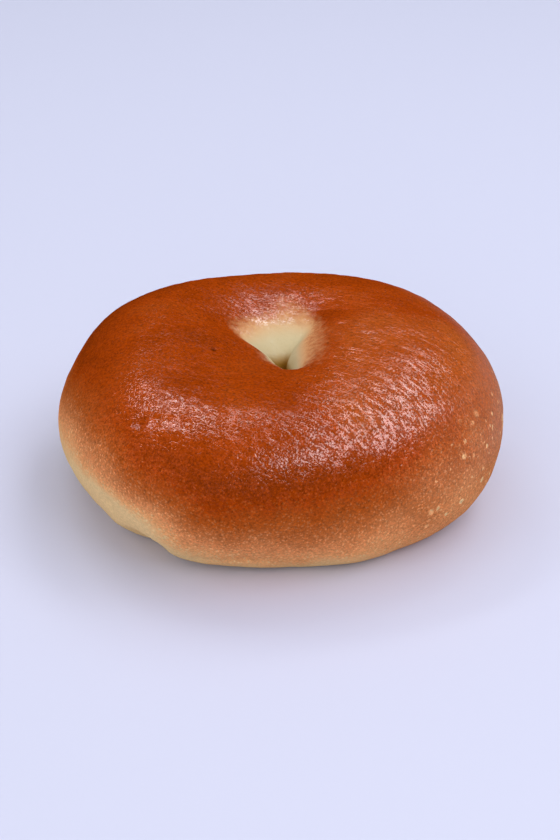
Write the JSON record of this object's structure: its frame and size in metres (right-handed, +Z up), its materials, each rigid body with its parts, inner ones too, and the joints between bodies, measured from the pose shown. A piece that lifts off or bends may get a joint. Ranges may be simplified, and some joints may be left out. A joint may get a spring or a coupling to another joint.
{
  "type": "bagel bun",
  "caption": "Ring-shaped baked bun with a glossy brown crust, a flat pale base and a hole that the rise has closed to a slit at the foot of a funnel.",
  "frame": {"origin": "middle of the flat base, under the middle of the bun's box", "axes": "+Z up out of the base, along the hole; -Y towards the side that the picture shows"},
  "size_m": [0.1162, 0.1142, 0.0458],
  "materials": {
    "crust": "glossy orange-brown boiled and baked crust with fine wrinkles, paler and duller towards the base and in the funnel"
  },
  "bodies": {
    "root": {"bun": "crust"}
  },
  "joints": []
}
